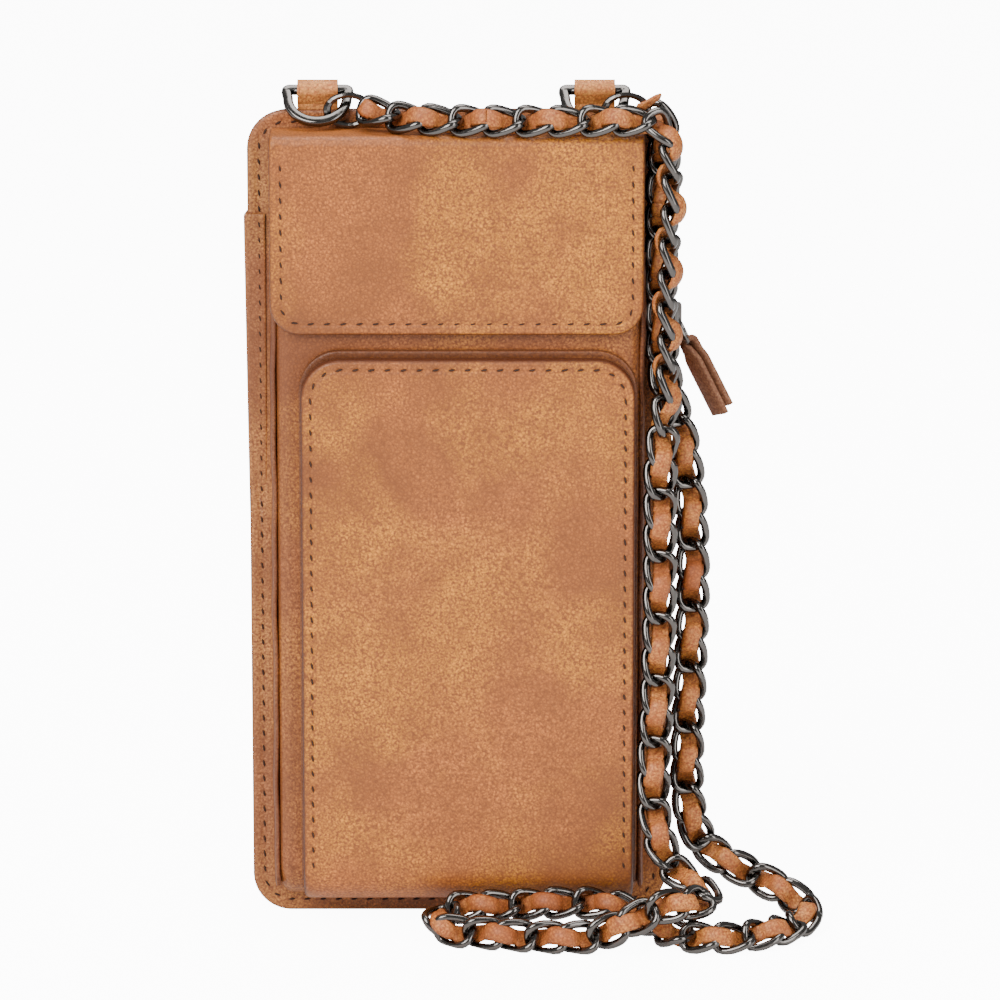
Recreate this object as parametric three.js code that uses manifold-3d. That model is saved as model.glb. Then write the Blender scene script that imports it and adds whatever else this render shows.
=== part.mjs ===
// Crossbody phone wallet in tan leather with a laced chain strap, standing on its bottom edge.
// Millimetres, +Z up. The front faces -Y. While it is being laid out, X = 0 is the middle of the
// front panel and Y = 0 is its outer face. At the end the whole group moves so that the origin lies
// under the middle of the wallet's box, on the surface that it stands on.

import * as THREE from "three";
import { mergeVertices } from "three/addons/utils/BufferGeometryUtils.js";
import Module from "manifold-3d";

const wasm = await Module();
wasm.setup();

// ---------------------------------------------------------------- driving dimensions

// Zip compartment: two panels with the zip and a gusset between their edges.
const FRONT = { width: 97, height: 190, corner: 9, thick: 1.6 };
const BACK = { width: 95, height: 188.5, corner: 8.5, thick: 1.6 };
const BODY_DEPTH = 12;
const BOARD = { inset: 6, top: 180.4, thick: 0.6 };
const LINING_THICK = 0.4;
const LAYER_GAP = 0.1;
const SEAM_GAP = 0.3;

// Zip: the band runs over the top, from the left end to the lower right end.
const ZIP = {
  leftEnd: 166,
  rightEnd: 132,
  tapeOuter: 1.6,
  tapeInner: 2.4,
  teethOuter: 1.2,
  teethInner: 2.8,
  teethWidth: 0.55,
};
const GUSSET = { outer: 1.0, inner: 2.4 };
const END_TAB = { leftLength: 78, rightLength: 8, thick: 0.5, leg: 4.2 };
const SLIDER = { low: 136.3, length: 8.5, width: 5.6, plate: 1.2 };
const BRIDGE = { width: 1.6, rise: 2.6, post: 1.5 };
const PULL = {
  lean: 26.6,
  ringRadius: 4.2,
  wire: 0.5,
  leaf: 1.2,
  width: 6.4,
  waist: 2.6,
  length: 18,
};

// Phone pocket on the front panel.
const POCKET = { half: 41.4, front: 10.4, wall: 1.8, top: 160, turn: 14, seam: 5.0 };
const SIDE_GUSSET = { thick: 1.0, low: 8.5, top: 158, bulgeLeft: 43.4, bulgeRight: 42.6 };

// Slip pocket on the phone pocket's wall.
const SLIP = {
  left: -36.4,
  right: 40.6,
  front: 17.2,
  top: 135.2,
  corner: 9,
  skin: 1.8,
  rim: 2.6,
  mouth: 1.6,
  seam: 4.2,
};
const PAD_THICK = 2.2;

// Flap: a fixed shelf over the phone pocket and a front that hangs from its crease.
const FLAP = {
  left: -43.3,
  right: 42.7,
  front: 13.1,
  bottom: 139.4,
  corner: 7,
  shelfTop: 185.9,
  thick: 2.4,
  leather: 1.4,
};
const MAGNET = { x: 25, z: 150, radius: 5, thick: 0.8, play: 0.15 };

// Strap tabs and D-rings. The ring's bar lies in the fold of its tab.
const TABS = { centres: [-32.1, 31.1], width: 9.2, leather: 0.9, bottom: 181.5 };
const BAR = { y: 2.7, z: 194.2 };
const RING = { halfWidth: 6.7, drop: 9.3, section: 1.8, lean: 42 };

// Chain strap: a round tube stands for the laced curb chain.
const CHAIN = { radius: 3, sides: 8 };
const LINK = { longRadius: 4.9, shortRadius: 3.5, wire: 0.65, offset: 1.3 };

// ---------------------------------------------------------------- materials

function material(colour, roughness, metalness = 0) {
  return new THREE.MeshStandardMaterial({ color: colour, roughness, metalness });
}

const LEATHER = 0xce9164;
const SUEDE = 0xc98f5e;
const LINING = 0x4a3527;
const TAPE = 0x6b4a30;
const GUNMETAL = 0x4a4d52;
const STEEL = 0x9a9ca0;
const BOARD_TAN = 0xb59a78;
const FOAM = 0xd8d0c0;

const leather = () => material(LEATHER, 0.55);
const suede = () => material(SUEDE, 0.8);
const lining = () => material(LINING, 0.9);
const gunmetal = () => material(GUNMETAL, 0.25, 1);

// ---------------------------------------------------------------- shape helpers

// Drops points that lie on top of each other, so that no side of the solid is a sliver.
function tidyShape(shape) {
  const { shape: outline, holes } = shape.extractPoints(10);
  const clean = (points) => points.filter((point, index) => {
    const next = points[(index + 1) % points.length];
    return point.distanceTo(next) > 1e-3;
  });
  const result = new THREE.Shape(clean(outline));
  result.holes = holes.map((hole) => new THREE.Path(clean(hole)));
  return result;
}

function prism(shape, depth) {
  return new THREE.ExtrudeGeometry(tidyShape(shape), { depth, bevelEnabled: false });
}

// Outline drawn in X and Z, solid from yFront back to yBack.
function plateXZ(shape, yFront, yBack) {
  const geometry = prism(shape, yBack - yFront);
  geometry.rotateX(Math.PI / 2);
  geometry.translate(0, yBack, 0);
  return geometry;
}

// Outline drawn in Y and Z, solid from xLeft to xRight.
function plateYZ(shape, xLeft, xRight) {
  const geometry = prism(shape, xRight - xLeft);
  geometry.applyMatrix4(new THREE.Matrix4().set(
    0, 0, 1, xLeft,
    1, 0, 0, 0,
    0, 1, 0, 0,
    0, 0, 0, 1,
  ));
  return geometry;
}

function box(x0, x1, y0, y1, z0, z1) {
  const geometry = new THREE.BoxGeometry(x1 - x0, y1 - y0, z1 - z0);
  geometry.translate((x0 + x1) / 2, (y0 + y1) / 2, (z0 + z1) / 2);
  return geometry;
}

// A disc whose flat faces look along Y.
function disc(x, z, radius, yFront, yBack) {
  const geometry = new THREE.CylinderGeometry(radius, radius, yBack - yFront, 24);
  geometry.translate(x, (yFront + yBack) / 2, z);
  return geometry;
}

function polygon(points) {
  return new THREE.Shape(points.map(([a, b]) => new THREE.Vector2(a, b)));
}

// A rectangle with its four corners rounded, or only its upper or lower pair.
function roundedRect(left, right, low, high, radius, corners = "all") {
  const upper = corners === "lower" ? 0 : radius;
  const lower = corners === "upper" ? 0 : radius;
  const shape = new THREE.Shape();
  shape.moveTo(left, low + lower);
  shape.lineTo(left, high - upper);
  if (upper) shape.absarc(left + upper, high - upper, upper, Math.PI, Math.PI / 2, true);
  shape.lineTo(right - upper, high);
  if (upper) shape.absarc(right - upper, high - upper, upper, Math.PI / 2, 0, true);
  shape.lineTo(right, low + lower);
  if (lower) shape.absarc(right - lower, low + lower, lower, 0, -Math.PI / 2, true);
  shape.lineTo(left + lower, low);
  if (lower) shape.absarc(left + lower, low + lower, lower, -Math.PI / 2, -Math.PI, true);
  return shape;
}

// A band that follows the front panel's edge over the top, between two insets from that edge.
function bandOverTop(outer, inner, leftEnd, rightEnd) {
  const half = FRONT.width / 2;
  const turn = half - FRONT.corner;
  const level = FRONT.height - FRONT.corner;
  const shape = new THREE.Shape();
  shape.moveTo(-half + outer, leftEnd);
  shape.lineTo(-half + outer, level);
  shape.absarc(-turn, level, FRONT.corner - outer, Math.PI, Math.PI / 2, true);
  shape.lineTo(turn, FRONT.height - outer);
  shape.absarc(turn, level, FRONT.corner - outer, Math.PI / 2, 0, true);
  shape.lineTo(half - outer, rightEnd);
  shape.lineTo(half - inner, rightEnd);
  shape.lineTo(half - inner, level);
  shape.absarc(turn, level, FRONT.corner - inner, 0, Math.PI / 2, false);
  shape.lineTo(-turn, FRONT.height - inner);
  shape.absarc(-turn, level, FRONT.corner - inner, Math.PI / 2, Math.PI, false);
  shape.lineTo(-half + inner, leftEnd);
  return shape;
}

// The same kind of band, but round the bottom.
function bandRoundBottom(outer, inner, leftEnd, rightEnd) {
  const half = FRONT.width / 2;
  const turn = half - FRONT.corner;
  const level = FRONT.corner;
  const shape = new THREE.Shape();
  shape.moveTo(-half + outer, leftEnd);
  shape.lineTo(-half + outer, level);
  shape.absarc(-turn, level, FRONT.corner - outer, Math.PI, 1.5 * Math.PI, false);
  shape.lineTo(turn, outer);
  shape.absarc(turn, level, FRONT.corner - outer, 1.5 * Math.PI, 2 * Math.PI, false);
  shape.lineTo(half - outer, rightEnd);
  shape.lineTo(half - inner, rightEnd);
  shape.lineTo(half - inner, level);
  shape.absarc(turn, level, FRONT.corner - inner, 2 * Math.PI, 1.5 * Math.PI, true);
  shape.lineTo(-turn, inner);
  shape.absarc(-turn, level, FRONT.corner - inner, 1.5 * Math.PI, Math.PI, true);
  shape.lineTo(-half + inner, leftEnd);
  return shape;
}

// ---------------------------------------------------------------- solids that are cut or joined

function toSolid(geometry) {
  const plain = geometry.clone();
  plain.deleteAttribute("normal");
  plain.deleteAttribute("uv");
  const merged = mergeVertices(plain, 1e-4);
  return new wasm.Manifold(new wasm.Mesh({
    numProp: 3,
    vertProperties: new Float32Array(merged.attributes.position.array),
    triVerts: new Uint32Array(merged.index.array),
  }));
}

function toGeometry(solid) {
  const mesh = solid.getMesh();
  const geometry = new THREE.BufferGeometry();
  geometry.setAttribute("position", new THREE.BufferAttribute(mesh.vertProperties, 3));
  geometry.setIndex(new THREE.BufferAttribute(mesh.triVerts, 1));
  geometry.computeVertexNormals();
  return geometry;
}

function cut(geometry, ...tools) {
  const solid = tools.reduce((body, tool) => body.subtract(toSolid(tool)), toSolid(geometry));
  return toGeometry(solid);
}

function join(geometry, ...others) {
  const solid = others.reduce((body, other) => body.add(toSolid(other)), toSolid(geometry));
  return toGeometry(solid);
}

function common(geometry, other) {
  return toGeometry(toSolid(geometry).intersect(toSolid(other)));
}

// ---------------------------------------------------------------- zip compartment

const wallet = new THREE.Group();
const strap = new THREE.Group();

function add(group, name, geometry, look) {
  const mesh = new THREE.Mesh(geometry, look);
  mesh.name = name;
  group.add(mesh);
  return mesh;
}

function addPanels() {
  const front = roundedRect(-FRONT.width / 2, FRONT.width / 2, 0, FRONT.height, FRONT.corner);
  add(wallet, "front_panel", plateXZ(front, 0, FRONT.thick), leather());

  const back = roundedRect(-BACK.width / 2, BACK.width / 2, 0, BACK.height, BACK.corner);
  add(wallet, "back_panel", plateXZ(back, BODY_DEPTH - BACK.thick, BODY_DEPTH), leather());

  const half = FRONT.width / 2 - BOARD.inset;
  const inside = roundedRect(-half, half, BOARD.inset, BOARD.top, 4);
  const boardFront = FRONT.thick + LAYER_GAP;
  const liningFront = boardFront + BOARD.thick + LAYER_GAP;
  const layers = [
    ["board", boardFront, BOARD.thick, () => material(BOARD_TAN, 0.9)],
    ["lining", liningFront, LINING_THICK, lining],
  ];
  for (const [kind, start, thick, look] of layers) {
    add(wallet, `front_${kind}`, plateXZ(inside, start, start + thick), look());
    const mirrored = plateXZ(inside, BODY_DEPTH - start - thick, BODY_DEPTH - start);
    add(wallet, `back_${kind}`, mirrored, look());
  }
}

function addLowerGusset() {
  const shape = bandRoundBottom(
    GUSSET.outer,
    GUSSET.inner,
    ZIP.leftEnd - SEAM_GAP,
    ZIP.rightEnd - SEAM_GAP,
  );
  const edge = FRONT.thick + LAYER_GAP;
  add(wallet, "lower_gusset", plateXZ(shape, edge, BODY_DEPTH - edge), leather());
}

// Where a strap tab goes down between the front panel and the zip tape.
function tabNotches() {
  const reach = TABS.width / 2 + SEAM_GAP;
  const depth = BAR.y + TABS.leather + LAYER_GAP + 0.2;
  return TABS.centres.map((x) => box(x - reach, x + reach, 0, depth, 180, 192));
}

function addZip() {
  const middle = BODY_DEPTH / 2;
  const edge = FRONT.thick + LAYER_GAP;
  const teethStart = middle - LAYER_GAP / 2 - ZIP.teethWidth;
  const tapeEnd = teethStart - LAYER_GAP / 2;
  const tape = bandOverTop(ZIP.tapeOuter, ZIP.tapeInner, ZIP.leftEnd, ZIP.rightEnd);
  const teeth = bandOverTop(ZIP.teethOuter, ZIP.teethInner, ZIP.leftEnd, ZIP.rightEnd);

  const frontTape = cut(plateXZ(tape, edge, tapeEnd), ...tabNotches());
  add(wallet, "zip_tape_front", frontTape, material(TAPE, 0.85));
  const backTape = plateXZ(tape, BODY_DEPTH - tapeEnd, BODY_DEPTH - edge);
  add(wallet, "zip_tape_back", backTape, material(TAPE, 0.85));

  const frontTeeth = plateXZ(teeth, teethStart, teethStart + ZIP.teethWidth);
  add(wallet, "zip_teeth_front", frontTeeth, gunmetal());
  const backStart = BODY_DEPTH - teethStart - ZIP.teethWidth;
  add(wallet, "zip_teeth_back", plateXZ(teeth, backStart, backStart + ZIP.teethWidth), gunmetal());
}

// A leather patch folded round the compartment's side, over the end of the zip.
function addEndTab(name, side, top, length) {
  const legs = END_TAB.thick + LAYER_GAP;
  const outer = FRONT.width / 2 + legs;
  const inner = FRONT.width / 2 - END_TAB.leg;
  const clear = FRONT.width / 2 + LAYER_GAP;
  const profile = polygon([
    [inner, -legs],
    [outer, -legs],
    [outer, BODY_DEPTH + legs],
    [inner, BODY_DEPTH + legs],
    [inner, BODY_DEPTH + LAYER_GAP],
    [clear, BODY_DEPTH + LAYER_GAP],
    [clear, -LAYER_GAP],
    [inner, -LAYER_GAP],
  ]);
  const geometry = prism(profile, length);
  if (side < 0) geometry.rotateZ(Math.PI).translate(0, BODY_DEPTH, 0);
  geometry.translate(0, 0, top - length);
  add(wallet, name, geometry, leather());
}

// ---------------------------------------------------------------- zip slider and pull

const sliderX = FRONT.width / 2 - ZIP.teethOuter + SEAM_GAP;
const pivot = {
  x: sliderX + SLIDER.plate + 0.7,
  y: BODY_DEPTH / 2,
  z: SLIDER.low + 5.7,
};

function addSlider() {
  const y0 = BODY_DEPTH / 2 - SLIDER.width / 2;
  const y1 = BODY_DEPTH / 2 + SLIDER.width / 2;
  const high = SLIDER.low + SLIDER.length;
  const plate = box(sliderX, sliderX + SLIDER.plate, y0, y1, SLIDER.low, high);

  // The bridge is an arch with a window that the pull ring goes through.
  const foot = sliderX + SLIDER.plate - 0.2;
  const crown = sliderX + SLIDER.plate + BRIDGE.rise;
  const arch = roundedRect(foot, crown, SLIDER.low + 1, high - 0.6, 0.8);
  const windowTop = crown - 1.1;
  const window = polygon([
    [foot - 1, SLIDER.low + 1 + BRIDGE.post],
    [windowTop, SLIDER.low + 1 + BRIDGE.post],
    [windowTop, high - 0.6 - BRIDGE.post],
    [foot - 1, high - 0.6 - BRIDGE.post],
  ]);
  const yLow = pivot.y - BRIDGE.width / 2;
  const yHigh = pivot.y + BRIDGE.width / 2;
  const bridge = cut(plateXZ(arch, yLow, yHigh), plateXZ(window, yLow - 1, yHigh + 1));
  add(wallet, "zip_slider", join(plate, bridge), gunmetal());

  const innerX = FRONT.width / 2 - ZIP.teethInner - SEAM_GAP;
  const inner = box(innerX - SLIDER.plate, innerX, y0, y1, SLIDER.low, high);
  add(wallet, "zip_slider_inner_plate", inner, gunmetal());
}

function addPull() {
  const pull = new THREE.Group();
  pull.position.set(pivot.x, pivot.y, pivot.z);
  pull.rotation.y = -THREE.MathUtils.degToRad(PULL.lean);

  // The ring hangs from the bridge in the plane of Y and the pull's own length.
  const ring = new THREE.TorusGeometry(PULL.ringRadius, PULL.wire, 8, 24);
  ring.rotateY(Math.PI / 2);
  ring.translate(0, 0, -PULL.ringRadius);
  add(pull, "zip_pull_ring", ring, gunmetal());

  // One strip folded round the ring's lower side, with two leaves hanging from the fold.
  const bore = PULL.wire + 0.3;
  const fold = bore + PULL.leaf;
  const seat = -2 * PULL.ringRadius;
  const tip = seat - PULL.length;
  const strip = new THREE.Shape();
  strip.moveTo(-fold - 0.5, tip);
  strip.lineTo(-fold, seat);
  strip.absarc(0, seat, fold, Math.PI, 0, true);
  strip.lineTo(fold + 0.5, tip - 1);
  strip.lineTo(bore + 0.3, tip - 1);
  strip.lineTo(bore - 0.5, seat - 2.5);
  strip.lineTo(bore, seat);
  strip.absarc(0, seat, bore, 0, Math.PI, false);
  strip.lineTo(-bore + 0.5, seat - 2.5);
  strip.lineTo(-bore - 0.3, tip);
  const thong = plateXZ(strip, -PULL.width / 2, PULL.width / 2);
  const waist = box(-9, 9, PULL.waist / 2, 9, seat - 3, seat + 9);
  const otherWaist = waist.clone().translate(0, -PULL.waist / 2 - 9, 0);
  add(pull, "zip_pull_thong", cut(thong, waist, otherWaist), suede());
  wallet.add(pull);
}

// ---------------------------------------------------------------- phone pocket

// The wall runs down, turns back and meets the front panel just above its bottom seam.
function pocketProfile() {
  const outer = POCKET.front;
  const inner = POCKET.front - POCKET.wall;
  const drop = POCKET.turn - POCKET.seam;
  const shape = new THREE.Shape();
  shape.moveTo(-outer, POCKET.top);
  shape.lineTo(-outer, POCKET.turn);
  const reach = outer - LAYER_GAP;
  shape.absellipse(-LAYER_GAP, POCKET.turn, reach, drop, Math.PI, 1.5 * Math.PI, false);
  shape.lineTo(-LAYER_GAP, POCKET.seam + POCKET.wall);
  const innerReach = inner - LAYER_GAP;
  const innerDrop = drop - POCKET.wall;
  shape.absellipse(-LAYER_GAP, POCKET.turn, innerReach, innerDrop, 1.5 * Math.PI, Math.PI, true);
  shape.lineTo(-inner, POCKET.top);
  return shape;
}

const magnetCentres = [-MAGNET.x, MAGNET.x];

function addPhonePocket() {
  const inner = POCKET.front - POCKET.wall;
  const recess = MAGNET.thick + MAGNET.play;
  const wall = plateYZ(pocketProfile(), -POCKET.half, POCKET.half);
  const seats = magnetCentres.map((x) => (
    disc(x, MAGNET.z, MAGNET.radius + MAGNET.play, -inner - recess, -inner + 1)
  ));
  add(wallet, "phone_pocket_wall", cut(wall, ...seats), leather());

  magnetCentres.forEach((x, index) => {
    const side = index === 0 ? "left" : "right";
    const back = -inner - MAGNET.play / 2;
    const geometry = disc(x, MAGNET.z, MAGNET.radius, back - MAGNET.thick, back);
    add(wallet, `wall_magnet_${side}`, geometry, material(STEEL, 0.3, 1));
  });

  const liningBack = -inner + LAYER_GAP + LINING_THICK;
  const cloth = box(
    -POCKET.half + 1,
    POCKET.half - 1,
    -inner + LAYER_GAP,
    liningBack,
    POCKET.turn + 1,
    POCKET.top - 2,
  );
  add(wallet, "phone_pocket_lining", cloth, lining());
}

// A strip bowed outward between the wall's side edge and the front panel.
function addSideGusset(name, side, bulge) {
  const inner = POCKET.half + 0.2;
  const outer = inner + SIDE_GUSSET.thick;
  const crest = bulge - SIDE_GUSSET.thick;
  const middle = -POCKET.front / 2;
  const profile = polygon([
    [inner, -LAYER_GAP],
    [outer, -LAYER_GAP],
    [bulge, middle + 1],
    [bulge, middle - 1],
    [outer, -POCKET.front],
    [inner, -POCKET.front],
    [Math.max(inner, crest), middle - 1],
    [Math.max(inner, crest), middle + 1],
  ]);
  const geometry = prism(profile, SIDE_GUSSET.top - SIDE_GUSSET.low);
  if (side < 0) geometry.rotateZ(Math.PI).translate(0, -POCKET.front - LAYER_GAP, 0);
  geometry.translate(0, 0, SIDE_GUSSET.low);
  add(wallet, name, geometry, leather());
}

// ---------------------------------------------------------------- slip pocket

// A moulded leather shell. Its mouth is the slot along the top, against the phone pocket's wall.
function addSlipPocket() {
  const back = POCKET.front + SEAM_GAP - LAYER_GAP;
  const backDrop = POCKET.turn - POCKET.seam + SEAM_GAP;
  const start = 1.5;
  const profile = new THREE.Shape();
  profile.moveTo(-SLIP.front, SLIP.top);
  profile.lineTo(-SLIP.front, POCKET.turn);
  const reach = SLIP.front - start;
  const drop = POCKET.turn - SLIP.seam;
  profile.absellipse(-start, POCKET.turn, reach, drop, Math.PI, 1.5 * Math.PI, false);
  profile.absellipse(0, POCKET.turn, back, backDrop, 1.45 * Math.PI, Math.PI, true);
  profile.lineTo(-back, SLIP.top);

  const outline = roundedRect(SLIP.left, SLIP.right, 0, SLIP.top, SLIP.corner, "upper");
  const block = common(
    plateYZ(profile, SLIP.left - 1, SLIP.right + 1),
    plateXZ(outline, -SLIP.front - 1, 0),
  );
  const mouthFront = -back - SLIP.mouth;
  const hollow = roundedRect(
    SLIP.left + SLIP.rim,
    SLIP.right - SLIP.rim,
    POCKET.turn + 1,
    SLIP.top - SLIP.skin,
    SLIP.corner - SLIP.rim,
    "upper",
  );
  const mouth = roundedRect(
    SLIP.left + SLIP.rim,
    SLIP.right - SLIP.rim,
    POCKET.turn + 1,
    SLIP.top + 5,
    2,
    "upper",
  );
  const shell = cut(
    block,
    plateXZ(hollow, -SLIP.front + SLIP.skin, mouthFront + 0.2),
    plateXZ(mouth, mouthFront, -back + 1),
  );
  add(wallet, "slip_pocket_shell", shell, leather());

  const inside = roundedRect(
    SLIP.left + SLIP.rim + LAYER_GAP,
    SLIP.right - SLIP.rim - LAYER_GAP,
    POCKET.turn + 1.2,
    SLIP.top - SLIP.skin - LAYER_GAP,
    SLIP.corner - SLIP.rim,
    "upper",
  );
  const padFront = -SLIP.front + SLIP.skin + LAYER_GAP;
  const padBack = padFront + PAD_THICK;
  add(wallet, "slip_pocket_pad", plateXZ(inside, padFront, padBack), material(FOAM, 0.95));
  const cloth = plateXZ(inside, padBack + LAYER_GAP, padBack + LAYER_GAP + LINING_THICK);
  add(wallet, "slip_pocket_lining", cloth, lining());
}

// ---------------------------------------------------------------- flap

function addFlap() {
  const shelfLow = FLAP.shelfTop - FLAP.thick;
  const shelf = box(FLAP.left, FLAP.right, -FLAP.front, -LAYER_GAP, shelfLow, FLAP.shelfTop);
  add(wallet, "flap_shelf", shelf, leather());

  const high = shelfLow - SEAM_GAP;
  const back = -FLAP.front + FLAP.leather;
  const outline = roundedRect(FLAP.left, FLAP.right, FLAP.bottom, high, FLAP.corner, "lower");
  const recess = MAGNET.thick + MAGNET.play;
  const seats = magnetCentres.map((x) => (
    disc(x, MAGNET.z, MAGNET.radius + MAGNET.play, back - recess, back + 1)
  ));
  const skin = cut(plateXZ(outline, -FLAP.front, back), ...seats);
  add(wallet, "flap_leather", skin, leather());

  magnetCentres.forEach((x, index) => {
    const side = index === 0 ? "left" : "right";
    const magnetBack = back - MAGNET.play / 2;
    const geometry = disc(x, MAGNET.z, MAGNET.radius, magnetBack - MAGNET.thick, magnetBack);
    add(wallet, `flap_magnet_${side}`, geometry, material(STEEL, 0.3, 1));
  });
  const liningBack = -FLAP.front + FLAP.thick;
  add(wallet, "flap_lining", plateXZ(outline, back + LAYER_GAP, liningBack), leather());
}

// ---------------------------------------------------------------- strap tabs and D-rings

// A strip that goes up inside the front panel, round the ring's bar and down again.
function addTab(name, x) {
  const bore = RING.section / 2 * Math.SQRT2 + 0.18;
  const outer = bore + TABS.leather;
  const legFront = BAR.y - TABS.leather - LAYER_GAP / 2;
  const legBack = BAR.y + TABS.leather + LAYER_GAP / 2;
  const waist = BAR.z - outer - 0.8;
  const shape = new THREE.Shape();
  shape.moveTo(legFront, TABS.bottom);
  shape.lineTo(legFront, waist);
  shape.absarc(BAR.y, BAR.z, outer, 1.1 * Math.PI, -0.1 * Math.PI, true);
  shape.lineTo(legBack, waist);
  shape.lineTo(legBack, TABS.bottom);
  shape.lineTo(BAR.y + LAYER_GAP / 2, TABS.bottom);
  shape.lineTo(BAR.y + LAYER_GAP / 2, waist + 0.4);
  shape.absarc(BAR.y, BAR.z, bore, -0.4 * Math.PI, 1.4 * Math.PI, false);
  shape.lineTo(BAR.y - LAYER_GAP / 2, waist + 0.4);
  shape.lineTo(BAR.y - LAYER_GAP / 2, TABS.bottom);
  add(wallet, name, plateYZ(shape, x - TABS.width / 2, x + TABS.width / 2), leather());
}

// The ring's outline, with its straight bar at the top and its bow below.
function ringOutline(margin) {
  const half = RING.halfWidth + margin;
  const shape = new THREE.Shape();
  const shoulder = -(RING.drop - RING.halfWidth);
  shape.moveTo(-half, margin);
  shape.lineTo(-half, shoulder);
  shape.absarc(0, shoulder, half, Math.PI, 2 * Math.PI, false);
  shape.lineTo(half, margin);
  return shape;
}

// The ring leans forward from its bar and rests on the front panel's edge.
function addRing(name, x) {
  const shape = ringOutline(RING.section / 2);
  shape.holes.push(ringOutline(-RING.section / 2));
  const geometry = plateXZ(shape, -RING.section / 2, RING.section / 2);
  const ring = add(wallet, name, geometry, gunmetal());
  ring.position.set(x, BAR.y, BAR.z);
  ring.rotation.x = -THREE.MathUtils.degToRad(90 - RING.lean);
}

// The chain's end link goes round the ring's right-hand shoulder.
function addEndLink(name, x) {
  const along = RING.drop - RING.halfWidth + RING.halfWidth / 2;
  const lean = THREE.MathUtils.degToRad(RING.lean);
  const link = new THREE.TorusGeometry(LINK.shortRadius, LINK.wire, 8, 24);
  link.scale(LINK.longRadius / LINK.shortRadius, 1, 1);
  link.rotateX(Math.PI / 2);
  const mesh = add(strap, name, link, gunmetal());
  const shoulder = RING.halfWidth * Math.cos(Math.PI / 6);
  mesh.position.set(
    x + shoulder + LINK.offset,
    BAR.y - along * Math.cos(lean),
    BAR.z - along * Math.sin(lean),
  );
}

// ---------------------------------------------------------------- chain strap

// The strap's route. From the left ring along the shelf, over its right end and down in front.
const frontRoute = [
  [-18.9, -5.2, 190.3],
  [-11.5, -8.2, 189.4],
  [0, -10.2, 189.2],
  [14, -11.2, 189.2],
  [27.5, -11.9, 189.3],
  [38.5, -12.1, 189.5],
  [44.7, -12.3, 188.9],
  [47.8, -12.9, 182.9],
  [48.4, -13.4, 172.5],
  [47.9, -13.5, 160],
  [47.5, -13.5, 148],
  [47.7, -13.5, 136.3],
  [47.5, -14, 125.2],
  [46.3, -14.2, 111.7],
  [46.2, -14.4, 96.8],
  [46.2, -14.4, 77.9],
  [45.7, -14.6, 54.9],
  [45, -15, 36.8],
  [45.8, -16.6, 24.5],
];

// On the ground: forward, left in front, back round to the right, under itself and out.
const groundRoute = [
  [49.5, -18.7, 16.2],
  [54.8, -21.4, 12],
  [56.8, -26.9, 11.2],
  [52.7, -31.4, 11],
  [45.7, -33.8, 10.6],
  [38.7, -35.2, 7.6],
  [30.9, -34, 4],
  [20.9, -33, 3.3],
  [11, -31, 3.3],
  [3.5, -29, 3.3],
  [-2, -27.4, 3.4],
  [-4.6, -24, 4.6],
  [-2.2, -20.6, 6.2],
  [3, -19.7, 6.9],
  [9, -20.2, 7.1],
  [18, -20.4, 7.6],
  [27, -20.2, 7.9],
  [35.6, -20, 7],
  [41.6, -22, 5.2],
  [45.5, -25, 3.7],
  [50, -30, 3.3],
  [57, -33.3, 3.3],
  [65.6, -31.9, 3.3],
  [74.1, -26.5, 3.3],
  [79.6, -18.9, 3.3],
  [80.5, -11.5, 3.4],
  [78.6, -6, 4.4],
  [73.8, -3.2, 6.8],
];

// Up again beside the wallet, behind the front strand, to the right ring.
const rearRoute = [
  [67.3, -2, 10],
  [60.3, -2.2, 14],
  [55.5, -3.2, 20],
  [53.3, -4.6, 29.2],
  [53.1, -5.2, 43.5],
  [53.6, -6, 61.7],
  [54, -6.5, 79.8],
  [53.4, -6.5, 98.8],
  [51.2, -6, 114.7],
  [47.4, -4.8, 128.6],
  [46.3, -4.5, 143.3],
  [46.2, -4.4, 159],
  [46.4, -4.3, 172.7],
  [46.9, -4, 186],
];

// One closed tube per stretch of the strap, each stopping a small gap short of the next.
function addStrap() {
  const routes = [frontRoute, groundRoute, rearRoute];
  const points = routes.flat().map((point) => new THREE.Vector3(...point));
  const route = new THREE.CatmullRomCurve3(points);
  route.arcLengthDivisions = 1200;
  const length = route.getLength();
  const stretches = [
    ["chain_front_strand", 0, 0.27, 22],
    ["chain_floor_loop", 0.27, 0.77, 38],
    ["chain_rear_strand", 0.77, 1, 20],
  ];
  const section = new THREE.Shape();
  for (let i = 0; i < CHAIN.sides; i += 1) {
    const angle = 2 * Math.PI * i / CHAIN.sides;
    const x = CHAIN.radius * Math.cos(angle);
    const y = CHAIN.radius * Math.sin(angle);
    if (i === 0) section.moveTo(x, y);
    else section.lineTo(x, y);
  }
  for (const [name, start, end, steps] of stretches) {
    const stop = end < 1 ? end - SEAM_GAP / length : 1;
    const count = Math.round((stop - start) * length / 3);
    const kept = [];
    for (let i = 0; i <= count; i += 1) {
      kept.push(route.getPointAt(start + (stop - start) * i / count));
    }
    const path = new THREE.CatmullRomCurve3(kept);
    add(strap, name, new THREE.ExtrudeGeometry(section, { steps, extrudePath: path }), gunmetal());
  }
}

// ---------------------------------------------------------------- assembly

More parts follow.
